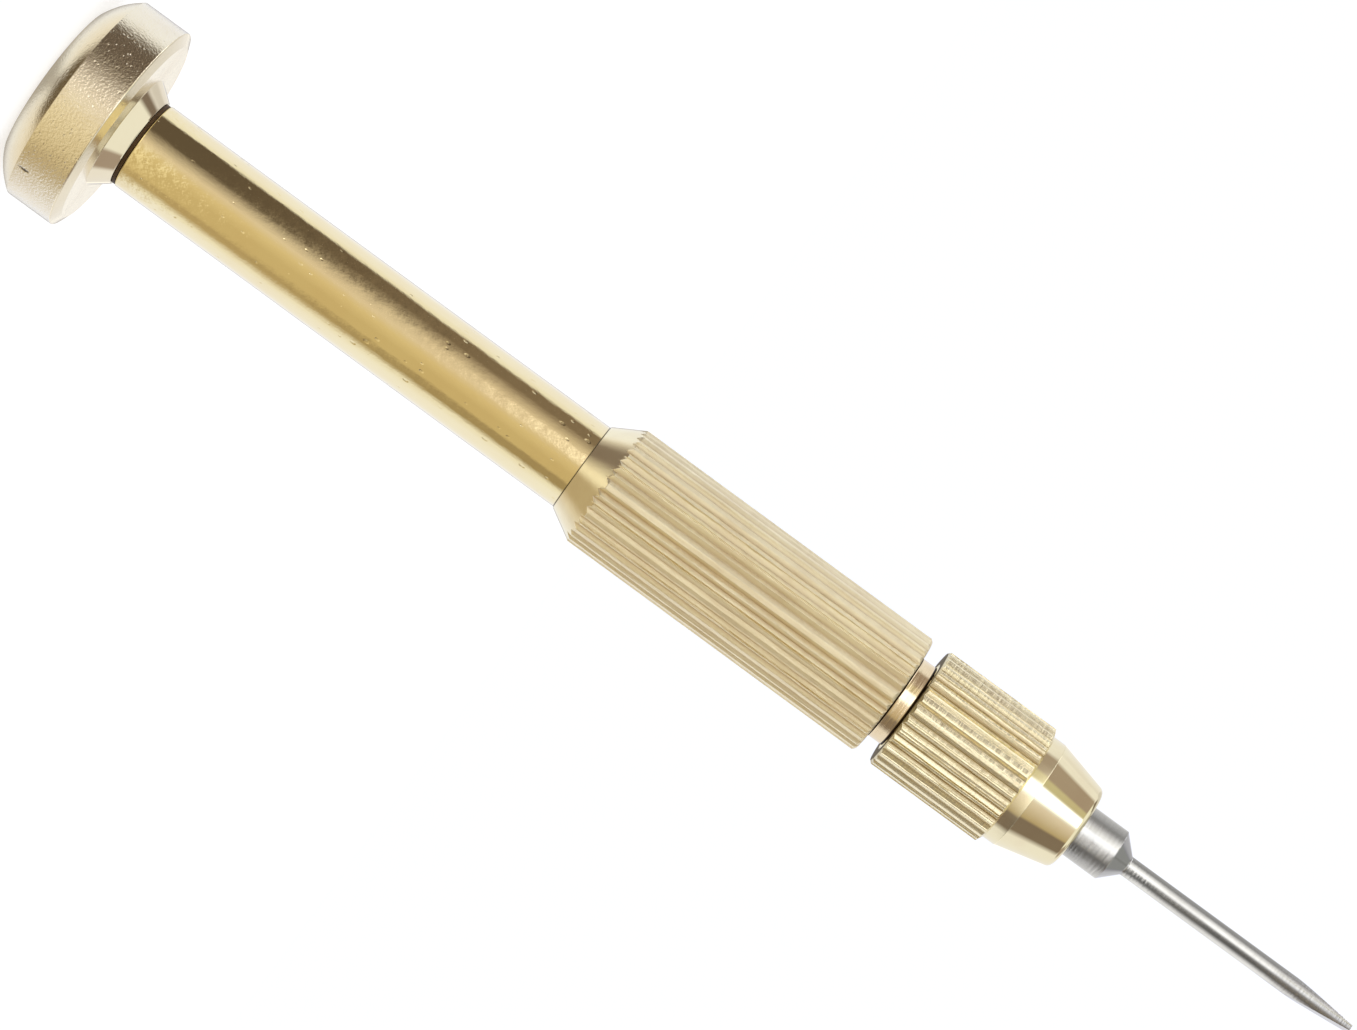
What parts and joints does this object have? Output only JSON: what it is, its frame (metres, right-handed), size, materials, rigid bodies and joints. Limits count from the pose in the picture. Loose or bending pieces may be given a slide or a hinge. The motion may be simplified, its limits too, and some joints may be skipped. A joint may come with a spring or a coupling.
{
  "type": "watchmaker's screwdriver",
  "caption": "Slim brass watchmaker's screwdriver with a swivelling finger head, knurled grip, collet chuck with screw nut, and a flat steel blade.",
  "frame": {"origin": "centre of the finger head's rim plane, on which the tool stands", "axes": "+Z along the tool's axis from the finger head to the blade's edge; the blade's ground flats face +X and -X and its edge runs along Y, both turned by 10 degrees about the axis, so that the +X flat faces a little towards -Y"},
  "size_m": [0.0128, 0.0128, 0.0872],
  "materials": {
    "satin_brass": "blasted satin",
    "polished_brass": "polished, with fine scratches",
    "knurled_brass": "straight knurled, satin",
    "turned_brass": "turned",
    "bush_bronze": "turned bearing bronze",
    "pin_steel": "ground",
    "blade_steel": "hardened steel, fine ground",
    "dark_washer": "dark fibre, slightly oiled"
  },
  "bodies": {
    "handle": {"barrel": "polished_brass", "grip": "knurled_brass", "chuck_body": "turned_brass", "swivel_bush": "bush_bronze", "thrust_washer": "dark_washer"},
    "head": {"finger_head": "satin_brass", "swivel_pin": "pin_steel", "retaining_ring": "pin_steel"},
    "collet": {"collet": "turned_brass"},
    "nut": {"collet_nut": "knurled_brass"},
    "blade": {"blade": "blade_steel"}
  },
  "joints": [
    {"name": "head_spin", "type": "hinge", "parent": "handle", "child": "head", "pos_m": [0, 0, 0.0056], "axis": [0, 0, 1], "continuous": true},
    {"name": "nut_travel", "type": "slide", "parent": "handle", "child": "collet", "axis": [0, 0, 1], "range_m": [0, 0.0035]},
    {"name": "nut_turn", "type": "hinge", "parent": "collet", "child": "nut", "pos_m": [0, 0, 0.0612], "axis": [0, 0, 1], "range_deg": [0, 2520]},
    {"name": "blade_slide", "type": "slide", "parent": "collet", "child": "blade", "axis": [0, 0, 1], "range_m": [0, 0.011]}
  ],
  "couplings": [
    {"joint": "nut_turn", "follows": "nut_travel", "rad_per_m": 12566}
  ]
}
